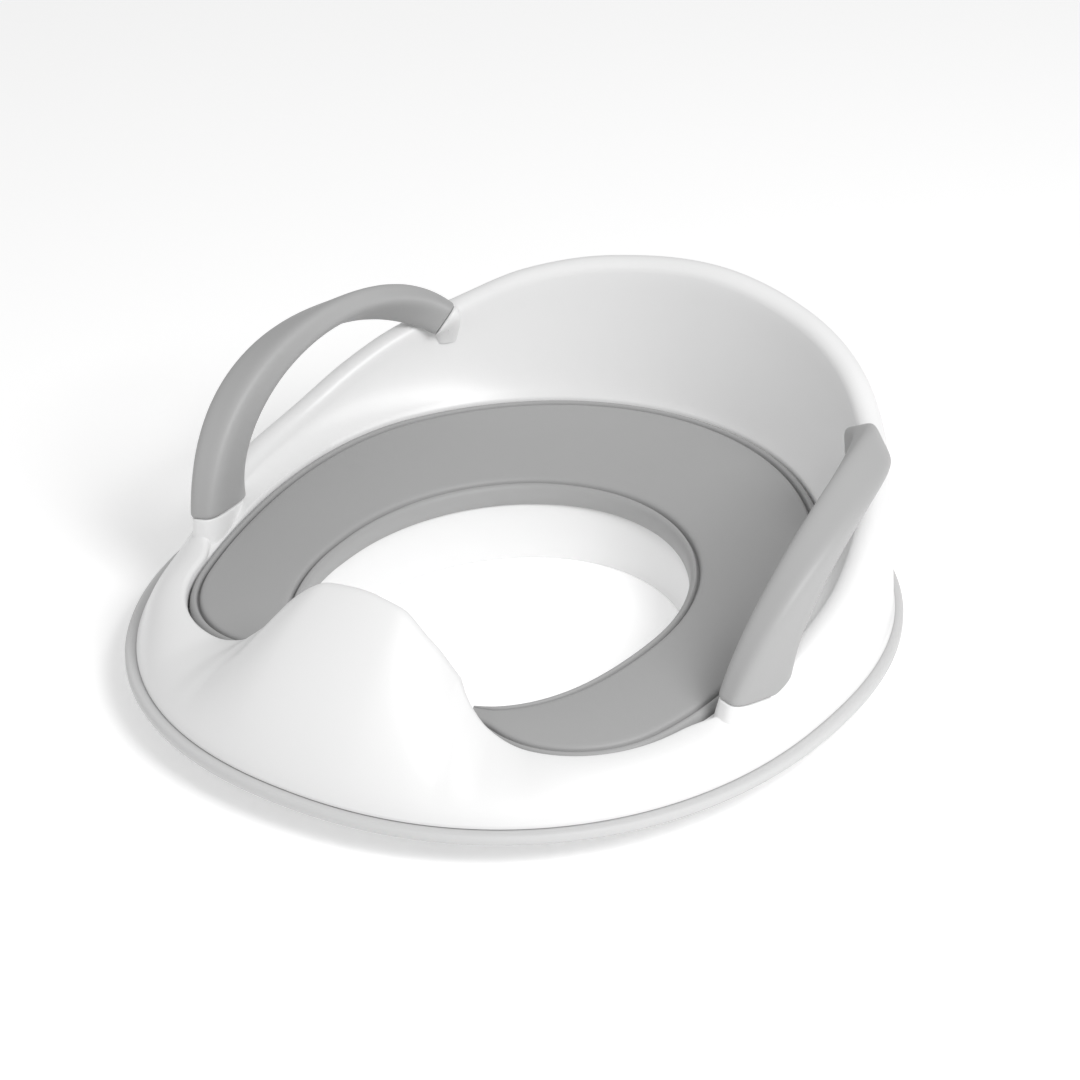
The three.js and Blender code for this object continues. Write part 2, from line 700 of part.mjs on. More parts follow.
function panScrew([x, y]) {
  const under = lift(BOSS_BOTTOM - GAP);
  return turned([
    [0, under - 2.1],
    [SCREW_HEAD - 0.9, under - 2.1],
    [SCREW_HEAD, under - 1.2],
    [SCREW_HEAD, under],
    [SCREW_SHANK, under],
    [SCREW_SHANK, under + SCREW_LENGTH],
    [0, under + SCREW_LENGTH + 1.5],
  ], x, y, 12);
}

// ---------------------------------------------------------------- the assembly

const seat = new THREE.Group();

function place(name, geometry, material) {
  const mesh = new THREE.Mesh(geometry, material);
  mesh.name = name;
  seat.add(mesh);
}

place("body_shell", geometryOf(shell), WHITE);
place("base_shell", geometryOf(baseSolid()), WHITE);
place("anti_slip_rim", seatRing(rimSection), RUBBER);
place("cushion_pad", horseshoe(cushionSection, -LOBE_END + 1.8), CUSHION_GREY);
place("cushion_carrier", geometryOf(carrierSolid()), CARRIER_WHITE);
[["left", -1], ["right", 1]].forEach(([name, side]) => {
  place(`${name}_grip`, geometryOf(gripSolid(side)), GRIP_GREY);
  place(`${name}_handle_core`, geometryOf(handleCore(side)), WHITE);
  handleScrewPlaces(side).forEach((spot, i) => {
    place(`${name}_handle_screw_${i + 1}`, panScrew(spot), STEEL);
  });
});
baseScrewPlaces.forEach((spot, i) => {
  place(`base_screw_${i + 1}`, countersunkScrew(spot), STEEL);
});

export default seat;
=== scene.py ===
"""A toddler's toilet training seat: white moulded shell, horseshoe cushion, arched grips and anti-slip rim.

Everything is in metres, in the seat's own frame: +X is the right side as seen from the splash guard,
+Y points to the backrest, +Z is up. Sizes inside the shape functions are in millimetres.
"""

import math

import bpy
import numpy as np
from mathutils import Euler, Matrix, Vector


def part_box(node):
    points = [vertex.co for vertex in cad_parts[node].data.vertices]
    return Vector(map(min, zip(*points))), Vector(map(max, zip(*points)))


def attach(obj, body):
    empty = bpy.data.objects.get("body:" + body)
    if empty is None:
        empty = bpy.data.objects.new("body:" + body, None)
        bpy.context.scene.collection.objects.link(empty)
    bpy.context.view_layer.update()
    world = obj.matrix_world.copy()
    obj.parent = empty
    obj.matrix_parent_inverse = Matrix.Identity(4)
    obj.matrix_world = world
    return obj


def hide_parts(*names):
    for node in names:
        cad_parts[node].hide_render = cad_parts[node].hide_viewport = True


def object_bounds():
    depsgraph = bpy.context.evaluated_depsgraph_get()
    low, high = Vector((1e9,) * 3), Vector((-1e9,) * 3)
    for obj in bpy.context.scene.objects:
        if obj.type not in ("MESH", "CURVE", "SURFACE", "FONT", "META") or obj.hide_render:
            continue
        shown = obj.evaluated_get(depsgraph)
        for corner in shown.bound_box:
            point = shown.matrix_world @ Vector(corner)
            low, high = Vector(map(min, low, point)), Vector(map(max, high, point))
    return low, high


bl_info = {
    "name": "Toilet training seat",
    "version": (1, 0, 0),
    "blender": (4, 5, 0),
    "location": "3D View > Sidebar > Training seat",
    "description": "Builds a toddler's toilet training seat round its CAD frame",
    "category": "Object",
}

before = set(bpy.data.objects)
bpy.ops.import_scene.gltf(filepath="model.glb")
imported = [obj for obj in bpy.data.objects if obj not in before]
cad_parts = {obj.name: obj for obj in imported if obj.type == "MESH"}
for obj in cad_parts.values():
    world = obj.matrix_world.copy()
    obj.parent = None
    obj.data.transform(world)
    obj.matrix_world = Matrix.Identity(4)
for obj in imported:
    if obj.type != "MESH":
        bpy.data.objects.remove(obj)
CAD_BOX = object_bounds()

MM = 0.001

# ---------------------------------------------------------------- the seat's dimensions, in millimetres

SEAT_WIDTH = 350.0
SEAT_LENGTH = 378.0
SEAT_SQUARENESS = 2.18
SKIRT_DEPTH = 13.0
RIM_HEIGHT = 5.0
LEDGE_FRONT = 5.5
LEDGE_BACK = 4.0
WALL = 2.5
GAP = 0.3
BACK_TOP = 117.0
RIM_GRIP = 11.0

# Egg-shaped outlines: half width, reach to the front and back of the middle, and how square they are.
HOLE = {"half_width": 84, "front": 99, "back": 102, "middle": -15, "squareness": 2.4, "back_squareness": 2}
CUSHION = {"half_width": 141, "front": 185, "back": 168, "middle": -8, "squareness": 2}
CREST = {"half_width": 158.4, "front": 175.5, "back": 175.5, "middle": 0, "squareness": 2.18}
RIM_OUTLINE = {
    "half_width": SEAT_WIDTH / 2,
    "front": SEAT_LENGTH / 2,
    "back": SEAT_LENGTH / 2,
    "middle": 0,
    "squareness": SEAT_SQUARENESS,
}
OUTLINE_REACH = 400.0
OUTLINE_HALVINGS = 34

SKIRT_SET_BACK = 1.2
SKIRT_DRAFT = 1.5

# Degrees in front of the sides where the cushion's ends start to close, where its last section stands,
# and where the recess round them ends.
LOBE_START = 30.0
LOBE_LAST = 66.0
LOBE_END = 67.5

# Height of the cushion's outer edge at the front and back, and of its inner edge.
SEAT_FRONT = 22.5
SEAT_BACK = 40.0
SEAT_INNER = 27.0
CUSHION_DEPTH = 8.7
CUSHION_LIP = 2.6
CUSHION_LIP_DEPTH = 9.8
CUSHION_CROWN = 1.5
CUSHION_EDGE = 8.0
CARRIER_HEIGHT = 3.0

# The right handle's middle line as a Bezier curve, and the half axes of the ellipse that it faces out from.
HANDLE = np.array([[151.4, -34.3, 32.1], [162.2, -25, 106.6], [158.2, 92.2, 110.7], [118.4, 109.8, 82.3]])
HANDLE_SPAN = (161.5, 175.5)
HANDLE_TURN = 90.0
GRIP_SQUARENESS = 3.9
GRIP_CORNERS = 64
COLLAR_FOOT = np.array([121.5, 114.5, 69.0])
COLLAR_RADIUS = 5.6
BOSS_BOTTOM = 16.0
BOSS_SPREAD = 0.03
MOULDED_SQUARENESS = 3.0
MOULDED_CORNERS = 56

# Sections of the shell by angle from the seat's side: crest height, crest radius, offset from the
# recess, how upright the wall is, where the outer face meets the crest, its slope at the rim, and how
# long it keeps each of those two directions.
SECTION_FIELDS = ("angle", "height", "lip", "offset", "upright", "turn", "foot", "swell", "drop")
SECTIONS = np.array([
    (-90, 77, 6, 8, 0, 60, 76, 30, 28),
    (-81, 75, 6, 9.5, 0, 60, 76, 29, 27),
    (-73, 62, 6, 13, 0, 62, 75, 24, 22),
    (-67, 44.5, 5, 13, 0, 68, 72, 19, 17),
    (-61, 29.5, 4, 7, 0, 78, 68, 14, 13),
    (-54, 24.5, 3, 3.5, 0, 90, 66, 11, 12),
    (-27, 25, 3, 3.5, 0, 90, 68, 12, 11),
    (-14, 30, 4.5, 8, 0.7, 50, 60, 11, 8),
    (-3, 43.5, 6, 12, 1, 10, 60, 12, 14),
    (13, 54, 6.3, 12, 1, 0, 70, 14, 18),
    (26, 68.5, 6.5, 12, 1, 0, 84, 20, 20),
    (33, 76.5, 6.5, 12, 1, 0, 88, 28, 22),
    (46, 89, 6.5, 12, 1, 0, 89, 34, 24),
    (57, 101.5, 6.5, 12, 1, 0, 89, 36, 28),
    (71, 111, 6.5, 12, 1, 0, 89, 38, 34),
    (90, BACK_TOP, 6.5, 12, 1, 0, 89, 38, 38),
])

BODY = "seat"
MOVING = "cushion"

# Moulded finishes: colour setting, roughness, strength and fineness of the grain, coat, specular, mottling.
MOULDED = {
    "Moulded_White": ("shell", 0.36, 0.05, 1500, 0.1, 0.5, 0.006),
    "Grip_Rubber": ("grip", 0.47, 0.12, 2200, 0.0, 0.45, 0.02),
    "Cushion_Skin": ("cushion", 0.5, 0.16, 1800, 0.0, 0.4, 0.02),
    "Rim_Rubber": ("rim", 0.55, 0.14, 2000, 0.0, 0.4, 0.02),
    "Carrier_Plastic": ("carrier", 0.5, 0.1, 1400, 0.0, 0.5, 0.03),
}
SCREW_ROUGHNESS = 0.24

# The stage, in metres: where the camera looks, and each light's place and size.
CAMERA_TARGET = (-0.0352, 0.0716, SKIRT_DEPTH * MM)
LIGHT_TARGET = (0.0, 0.0, 0.05)
KEY_LIGHT = ((1.05, -0.25, 1.15), 0.7)
FILL_LIGHT = ((-0.6, -1.3, 0.9), 1.2)
FLOOR_REACH = 6.0
FLOOR_GLOW = 0.2


# ---------------------------------------------------------------- outlines and curves

def mix(a, b, share):
    return a + (b - a) * share


def clamp(value, low, high):
    return max(low, min(high, value))


def smoothstep(value, low, high):
    share = clamp((value - low) / (high - low), 0.0, 1.0)
    return share * share * (3 - 2 * share)


def side_angle(direction):
    """Angle from the seat's side, -90 at the front and 90 at the back, the same left and right."""
    return math.degrees(math.atan2(math.sin(direction), abs(math.cos(direction))))


def egg_radius(direction, egg):
    """Distance from the seat's middle to an egg-shaped outline, in one direction."""
    near, far = 0.0, OUTLINE_REACH
    cosine, sine = math.cos(direction), math.sin(direction)
    for _ in range(OUTLINE_HALVINGS):
        middle = (near + far) / 2
        across = abs(middle * cosine) / egg["half_width"]
        along = middle * sine - egg["middle"]
        power = egg["squareness"]
        if along >= 0:
            power = egg.get("back_squareness", power)
        length = abs(along) / (egg["front"] if along < 0 else egg["back"])
        if across ** power + length ** power < 1:
            near = middle
        else:
            far = middle
    return near


def rim_radius(direction):
    return egg_radius(direction, RIM_OUTLINE)


def hole_radius(direction):
    return egg_radius(direction, HOLE)


def cushion_radius(direction):
    """The cushion's outer edge, whose front ends round off to the hole beside the splash guard."""
    full = egg_radius(direction, CUSHION)
    hole = hole_radius(direction)
    past = clamp((-side_angle(direction) - LOBE_START) / (LOBE_END - LOBE_START), 0, 1)
    return hole + (full - hole) * (1 - past ** 2.1) ** 0.95


def outer_top(direction):
    """Height of the cushion's outer edge."""
    return mix(SEAT_FRONT, SEAT_BACK, smoothstep(side_angle(direction), -40, 34))


def inner_top(direction):
    """Height of the cushion's edge at the hole."""
    return mix(SEAT_INNER - 3, SEAT_INNER, smoothstep(side_angle(direction), -60, -20))


def floor_height(direction, radius):
    """Height of the recess's floor under the cushion, at a radius."""
    inner = hole_radius(direction) + CUSHION_LIP
    outer = max(cushion_radius(direction), inner + 1)
    share = (radius - inner) / (outer - inner)
    return mix(inner_top(direction), outer_top(direction), share) - CUSHION_DEPTH


def ledge(direction):
    """How far the rim shows outside the shell's foot."""
    return mix(LEDGE_FRONT, LEDGE_BACK, smoothstep(side_angle(direction), 0, 40))


def section_value(field, angle):
    """One field of the shell's sections at an angle, on a smooth curve that never overshoots."""
    stops = SECTIONS[:, 0]
    values = SECTIONS[:, SECTION_FIELDS.index(field)]
    slopes = np.diff(values) / np.diff(stops)
    i = int(clamp(np.searchsorted(stops, angle) - 1, 0, len(stops) - 2))

    def tangent(k):
        if k in (0, len(stops) - 1):
            return 0.0
        before, after = slopes[k - 1], slopes[k]
        return 0.0 if before * after <= 0 else 2 * before * after / (before + after)

    run = stops[i + 1] - stops[i]
    share = clamp((angle - stops[i]) / run, 0, 1)
    eased = share * share * (3 - 2 * share)
    lean = tangent(i) * (1 - share) - tangent(i + 1) * share
    return mix(values[i], values[i + 1], eased) + run * share * (1 - share) * lean


def bezier(points, share):
    rest = 1 - share
    weights = (rest ** 3, 3 * rest * rest * share, 3 * rest * share * share, share ** 3)
    return sum(w * np.asarray(p, dtype=float) for w, p in zip(weights, points))


# ---------------------------------------------------------------- meshes

def mesh_object(name, vertices, faces, material, sharp):
    """A mesh object at the origin from points in millimetres, turned the right way out."""
    points = np.asarray(vertices, dtype=float) * MM
    volume = 0.0
    for face in faces:
        first = points[face[0]]
        for a, b in zip(face[1:-1], face[2:]):
            volume += float(np.dot(first, np.cross(points[a], points[b])))
    if volume < 0:
        faces = [tuple(reversed(face)) for face in faces]
    mesh = bpy.data.meshes.new(name)
    mesh.from_pydata([tuple(p) for p in points], [], faces)
    mesh.materials.append(material)
    mesh.shade_smooth()
    mesh.set_sharp_from_angle(angle=math.radians(sharp))
    mesh.update()
    piece = bpy.data.objects.new(name, mesh)
    bpy.context.scene.collection.objects.link(piece)
    return piece


def ring_faces(count, size, closed):
    """Quads between loops of the same size; closed joins the last loop to the first."""
    faces = []
    for i in range(count if closed else count - 1):
        here = i * size
        ahead = ((i + 1) % count) * size
        for j in range(size):
            k = (j + 1) % size
            faces.append((here + j, ahead + j, ahead + k, here + k))
    return faces


def capped_loops(loops):
    """Points and faces of a closed body: loops joined in a row with a fan on each end."""
    size = len(loops[0])
    vertices = [p for loop in loops for p in loop]
    faces = ring_faces(len(loops), size, False)
    for loop, start, flip in ((loops[0], 0, False), (loops[-1], (len(loops) - 1) * size, True)):
        vertices.append(np.mean(np.asarray(loop), axis=0))
        middle = len(vertices) - 1
        for j in range(size):
            a, b = start + j, start + (j + 1) % size
            faces.append((middle, b, a) if flip else (middle, a, b))
    return vertices, faces


def mirror_angle(angle):
    return angle if angle <= 90 else 180 - angle


def seat_angles(step):
    """Directions round the seat in degrees, with none where the cushion's ends close."""
    angles = [a for a in np.arange(-90.0, 270.0, step) if not LOBE_LAST < -mirror_angle(a) < LOBE_END]
    angles += [-LOBE_END, -LOBE_LAST, 180 + LOBE_LAST, 180 + LOBE_END]
    return sorted(set(float(a) for a in angles))


def placed(section, angle):
    """The points of a section in one direction, in degrees, from its radii and heights."""
    direction = math.radians(angle)
    cosine, sine = math.cos(direction), math.sin(direction)
    return [(r * cosine, r * sine, z + SKIRT_DEPTH) for r, z in section(direction)]


def seat_ring(name, section, step, material, sharp):
    """An object that runs all the way round the seat with one section formula."""
    loops = [placed(section, angle) for angle in seat_angles(step)]
    vertices = [p for loop in loops for p in loop]
    return mesh_object(name, vertices, ring_faces(len(loops), len(loops[0]), True), material, sharp)


# ---------------------------------------------------------------- the shell

def shell_section(direction):
    """Up the outside, over the crest, down into the recess, round the skirt and back underneath."""
    angle = side_angle(direction)
    recess = cushion_radius(direction) + GAP + 0.2
    lip = section_value("lip", angle)
    crest = mix(recess + section_value("offset", angle), egg_radius(direction, CREST),
                section_value("upright", angle))
    height = section_value("height", angle)
    turn = math.radians(section_value("turn", angle))
    foot = math.radians(section_value("foot", angle))
    swell = section_value("swell", angle)
    drop = section_value("drop", angle)
    start = np.array([rim_radius(direction) - ledge(direction), RIM_HEIGHT + GAP])
    edge = start + (-0.8, 2.2)
    end = np.array([crest + lip * math.cos(turn), height - lip + lip * math.sin(turn)])
    outer = (
        edge,
        edge + (-swell * math.cos(foot), swell * math.sin(foot)),
        end + (drop * math.sin(turn), -drop * math.cos(turn)),
        end,
    )
    points = [start, start + (-0.1, 0.9), start + (-0.35, 1.6)]
    points += [bezier(outer, i / 26) for i in range(26)]

    def around(radius, share):
        here = mix(turn, math.pi, share)
        return np.array([crest + radius * math.cos(here), height - lip + radius * math.sin(here)])

    points += [around(lip, i / 10) for i in range(11)]
    hole = hole_radius(direction)
    face_top = (crest - lip, height - lip)
    skirt_top = inner_top(direction) - CUSHION_LIP_DEPTH - GAP
    skirt = hole + SKIRT_SET_BACK
    horseshoe_here = -angle < LOBE_END - 0.01
    edge_top = min(outer_top(direction) + 0.4, height - lip - 0.5)
    recess_top = (skirt + 1, skirt_top + 6)
    if horseshoe_here:
        recess_top = (min(recess + 0.8, face_top[0] - 0.1), edge_top)
    face = (
        face_top,
        (face_top[0] - 0.2, mix(face_top[1], recess_top[1], 0.4)),
        (mix(face_top[0], recess_top[0], 0.55), mix(face_top[1], recess_top[1], 0.85)),
        recess_top,
    )
    points += [bezier(face, i / 10) for i in range(1, 10)]
    points.append(np.array(recess_top))
    shelf = hole + CUSHION_LIP + GAP
    floor_end = max(min(recess, recess_top[0] - 0.05), shelf + 0.2)
    if horseshoe_here:
        points += [
            (mix(recess_top[0], floor_end, 0.8), recess_top[1] - 1.2),
            (floor_end, floor_height(direction, floor_end)),
            (shelf, floor_height(direction, shelf)),
            (shelf - 0.1, skirt_top),
        ]
    else:
        points += [
            (skirt + 0.8, skirt_top + 5),
            (skirt + 0.6, skirt_top + 4),
            (skirt + 0.4, skirt_top + 2),
            (skirt + 0.2, skirt_top + 1),
        ]
    skirt_foot = skirt - SKIRT_DRAFT
    points += [(skirt + 0.5, skirt_top), (skirt, skirt_top - 0.6)]
    points += [(mix(skirt, skirt_foot, k / 3), mix(skirt_top, -SKIRT_DEPTH + 1, k / 3)) for k in (1, 2, 3)]
    points += [(skirt_foot + 0.4, -SKIRT_DEPTH), (skirt_foot + 1.7, -SKIRT_DEPTH)]
    points.append((skirt_foot + 2, -SKIRT_DEPTH + 0.6))
    under = 3.0
    points += [
        (skirt + WALL + 0.1, under),
        (max(floor_end, skirt + 2 * WALL) + WALL, under + 1),
        (crest, max(under + 2, min(height - lip, height * 0.6) - 3)),
        (start[0] - 3 * WALL, RIM_HEIGHT + 3),
        (start[0] - WALL - 0.4, start[1]),
    ]
    return [np.asarray(p, dtype=float) for p in points]


# ---------------------------------------------------------------- the handles

def handle_length():
    points = np.array([bezier(HANDLE, i / 200) for i in range(201)])
    return float(np.linalg.norm(np.diff(points, axis=0), axis=1).sum())


HANDLE_LENGTH = handle_length()


def handle_frame(share):
    """Position and cross axes of the right handle's middle line; it runs straight past either end."""
    held = clamp(share, 0, 1)
    rest = 1 - held
    legs = np.diff(HANDLE, axis=0)
    along = rest * rest * legs[0] + 2 * rest * held * legs[1] + held * held * legs[2]
    along /= np.linalg.norm(along)
    point = bezier(HANDLE, held) + along * (share - held) * HANDLE_LENGTH
    out = np.array([point[0] / HANDLE_SPAN[0] ** 2, point[1] / HANDLE_SPAN[1] ** 2, 0])
    out -= along * np.dot(out, along)
    out /= np.linalg.norm(out)
    over = np.cross(along, out)
    roll = math.radians(HANDLE_TURN) * held ** 2.2
    turned = out * math.cos(roll) + over * math.sin(roll)
    return point, along, turned, np.cross(along, turned)


def grip_size(share):
    """Half sizes of the grip's section; its front foot is long along the seat's side."""
    held = clamp(share, 0, 1)
    front = 1 - held
    across = 7.7 * front ** 3 + 33.9 * front * held + 8.7 * held ** 3
    return across, 6 + 13.9 * front ** 3.7 + 0.6 * held ** 4


def soft_square(corners, power):
    """Unit points round a soft-cornered square."""
    out = []
    for j in range(corners):
        angle = 2 * math.pi * (j + 0.5) / corners
        c, s = math.cos(angle), math.sin(angle)
        scale = (abs(c) ** power + abs(s) ** power) ** (-1 / power)
        out.append((scale * c, scale * s))
    return out


def sweep_loops(places, inset, size, unit):
    """Loops along the right handle, each a unit outline scaled to its size less its inset."""
    loops = []
    for share, less in zip(places, inset):
        point, _, out, over = handle_frame(share)
        across, deep = size(share)
        loops.append([point + out * (across - less) * u + over * (deep - less) * v for u, v in unit])
    return loops


def both_sides(name, make_loops, material, sharp=35.0):
    """One object for each side; the left one is the right one's mirror image."""
    pieces = []
    for side, label in ((-1, "Left"), (1, "Right")):
        loops = [[(p[0] * side, p[1], p[2] + SKIRT_DEPTH) for p in loop] for loop in make_loops()]
        vertices, faces = capped_loops(loops)
        pieces.append(mesh_object(f"{label}_{name}", vertices, faces, material, sharp))
    return pieces


def eased_places(steps, edge):
    """Places along the handle, with close ones at both ends so that the edges are rounded."""
    ends = [0.0, 0.08, 0.25, 0.55, 1.0]
    first = [edge * e for e in ends]
    last = [1.0 - edge * e for e in reversed(ends)]
    middle = [mix(first[-1], last[0], k / steps) for k in range(1, steps)]
    rounding = [0.9, 0.55, 0.28, 0.08, 0.0]
    inset = rounding + [0.0] * (steps - 1) + rounding[::-1]
    return first + middle + last, inset


def grip_loops():
    places, inset = eased_places(110, 1.4 / HANDLE_LENGTH)
    return sweep_loops(places, inset, grip_size, soft_square(GRIP_CORNERS, GRIP_SQUARENESS))


def boss_loops():
    """The white boss under the grip's front foot, a little wider towards its bottom."""
    top = -GAP / HANDLE_LENGTH
    bottom = -(HANDLE[0][2] - BOSS_BOTTOM + 4) / HANDLE_LENGTH
    across, deep = grip_size(0)

    def size(share):
        spread = -share * HANDLE_LENGTH * BOSS_SPREAD
        return across + spread, deep + spread

    places = [bottom + (top - bottom) * k / 14 for k in range(14)]
    places += [top - 0.8 / HANDLE_LENGTH, top - 0.3 / HANDLE_LENGTH, top]
    inset = [0.0] * 15 + [0.2, 0.8]
    return sweep_loops(places, inset, size, soft_square(MOULDED_CORNERS, MOULDED_SQUARENESS))


def collar_loops():
    """The white collar behind the grip bends down into the backrest."""
    point, along, out, _ = handle_frame(1 + GAP / HANDLE_LENGTH)
    across, deep = grip_size(1)
    path = (point, point + along * 4, COLLAR_FOOT + (-1.5, -1.0, 8), COLLAR_FOOT)
    unit = soft_square(MOULDED_CORNERS, MOULDED_SQUARENESS)
    rounding = {0: 0.8, 1: 0.15}
    down = np.array([0.0, 0.0, -1.0])
    loops = []
    for k in range(21):
        t = k / 20
        here = bezier(path, t)
        heading = along * (1 - t) + down * t
        heading /= np.linalg.norm(heading)
        first = out - heading * np.dot(out, heading)
        first /= np.linalg.norm(first)
        second = np.cross(heading, first)
        less = rounding.get(k, 0.0)
        wide = mix(across, COLLAR_RADIUS, t) - less
        thick = mix(deep, COLLAR_RADIUS, t) - less
        loops.append([here + first * wide * u + second * thick * v for u, v in unit])
    return loops


# ---------------------------------------------------------------- the rim and the cushion

def rim_section(direction):
    """The lip that grips the base plate stays plain; the outer face has soft edges and a fine bead."""
    rim = rim_radius(direction)
    inner = rim - RIM_GRIP
    return [
        (inner, 0.0), (rim - 1.6, 0.0), (rim - 0.5, 0.35), (rim, 1.3), (rim, 3.4), (rim - 0.35, 4.3),
        (rim - 1.1, 4.9), (rim - 2.0, 5.0), (rim - 3.4, 4.75), (rim - 4.4, 4.75), (inner, 4.75),
        (inner, 3.7), (rim - 6.2, 3.7), (rim - 6.2, 1.7), (inner, 1.7),
    ]


def cushion_section(direction):
    """A crowned pad with a rolled bead and a groove along both edges, and a lip into the hole."""
    inner = hole_radius(direction)
    outer = max(cushion_radius(direction) - 0.35, inner + CUSHION_LIP + 2.7)
    width = outer - inner
    scale = min(1.0, width / 22)
    low = inner_top(direction)
    high = outer_top(direction)

    def top(share):
        crown = CUSHION_CROWN * scale * max(0.0, math.sin(math.pi * share)) ** 0.7
        return mix(low, high, share) + crown

    profile = [
        (0.0, -4.4), (0.1, -2.8), (0.5, -1.5), (1.2, -0.6), (2.1, -0.2), (2.9, -0.4), (3.4, -1.1),
        (3.7, -2.4), (4.0, -3.2), (4.5, -3.3), (4.8, -2.5), (5.1, -1.1), (5.7, -0.3), (6.6, 0.0),
        (CUSHION_EDGE, 0.05),
    ]
    points = []
    for along, rise in profile:
        points.append((inner + along * scale, top(along * scale / width) + rise * scale))
    start = CUSHION_EDGE * scale / width
    for k in range(1, 18):
        share = mix(start, 1 - start, k / 18)
        points.append((inner + share * width, top(share)))
    for along, rise in reversed(profile):
        points.append((outer - along * scale, top(1 - along * scale / width) + rise * scale))
    edge = max(outer - 2.2, inner + CUSHION_LIP + 0.5)
    lip_foot = low - CUSHION_LIP_DEPTH
    points += [
        (outer, floor_height(direction, outer) + GAP + 0.6),
        (outer - 0.3, floor_height(direction, outer) + GAP),
        (edge, floor_height(direction, edge) + GAP),
        (edge, floor_height(direction, edge) + CARRIER_HEIGHT),
        (inner + CUSHION_LIP, floor_height(direction, inner + CUSHION_LIP) + CARRIER_HEIGHT),
        (inner + CUSHION_LIP, lip_foot),
        (inner + 0.5, lip_foot),
        (inner, lip_foot + 0.5),
    ]
    return points


# ---------------------------------------------------------------- materials

class Sock:
    """One shader socket, so that a mask can be written as a sum."""

    def __init__(self, graph, socket):
        self.graph = graph
        self.socket = socket

    def _math(self, kind, first, second):
        return self.graph.node("ShaderNodeMath", {"operation": kind}, {0: first, 1: second}, "Value")

    def __add__(self, other):
        return self._math("ADD", self, other)

    __radd__ = __add__

    def __mul__(self, other):
        return self._math("MULTIPLY", self, other)

    __rmul__ = __mul__


class Graph:
    """Builds one material's nodes."""

    def __init__(self, name):
        self.material = bpy.data.materials.new(name)
        self.material.use_nodes = True
        self.tree = self.material.node_tree
        self.tree.nodes.clear()

    def node(self, kind, settings, sockets, out=0):
        made = self.tree.nodes.new(kind)
        for key, value in settings.items():
            setattr(made, key, value)
        for key, value in sockets.items():
            if isinstance(value, Sock):
                self.tree.links.new(value.socket, made.inputs[key])
            else:
                made.inputs[key].default_value = value
        return Sock(self, made.outputs[out])

    def finish(self, shader):
        end = self.tree.nodes.new("ShaderNodeOutputMaterial")
        self.tree.links.new(shader.socket, end.inputs["Surface"])
        return self.material


def moulded(name, colour, roughness, grain, fineness, coat, specular, mottling):
    """A moulded surface: one colour with faint mottling, and a fine moulded grain."""
    graph = Graph(name)
    place = graph.node("ShaderNodeTexCoord", {}, {}, "Object")
    cloud = graph.node("ShaderNodeTexNoise", {}, {"Vector": place, "Scale": 9.0, "Detail": 3.0})
    fine = graph.node("ShaderNodeTexNoise", {}, {"Vector": place, "Scale": fineness, "Detail": 2.0})
    light = tuple(min(1.0, c * (1 + mottling)) for c in colour) + (1.0,)
    dark = tuple(c * (1 - mottling) for c in colour) + (1.0,)
    tint = graph.node("ShaderNodeMix", {"data_type": "RGBA"}, {0: cloud, 6: dark, 7: light}, 2)
    rough = cloud * (0.16 * roughness) + roughness * 0.92
    bump = graph.node("ShaderNodeBump", {}, {"Strength": grain, "Distance": 0.0004, "Height": fine})
    shader = graph.node("ShaderNodeBsdfPrincipled", {}, {
        "Base Color": tint,
        "Roughness": rough,
        "Normal": bump,
        "Coat Weight": coat,
        "Coat Roughness": 0.25,
        "Specular IOR Level": specular,
    })
    return graph.finish(shader)


def plated(name, colour, roughness):
    """Plated screw steel with a fine turned grain."""
    graph = Graph(name)
    place = graph.node("ShaderNodeTexCoord", {}, {}, "Object")
    fine = graph.node("ShaderNodeTexNoise", {}, {"Vector": place, "Scale": 900.0, "Detail": 2.0})
    rough = fine * 0.2 + roughness
    shader = graph.node("ShaderNodeBsdfPrincipled", {}, {
        "Base Color": tuple(colour) + (1.0,),
        "Roughness": rough,
        "Metallic": 1.0,
    })
    return graph.finish(shader)


def finish_named(name):
    """The material of that finish, made once."""
    if name in bpy.data.materials:
        return bpy.data.materials[name]
    finishes = bpy.context.scene.seat_finishes
    if name == "Screw_Steel":
        return plated(name, finishes.steel[:3], SCREW_ROUGHNESS)
    setting, *surface = MOULDED[name]
    return moulded(name, getattr(finishes, setting)[:3], *surface)


def declare(piece, body, slot, *nodes):
    """Says which body carries the piece and hides the CAD nodes that it stands for; slot, what it is made
    of, is not used.
    """
    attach(piece, body)
    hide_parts(*nodes)


# ---------------------------------------------------------------- screws by geometry nodes

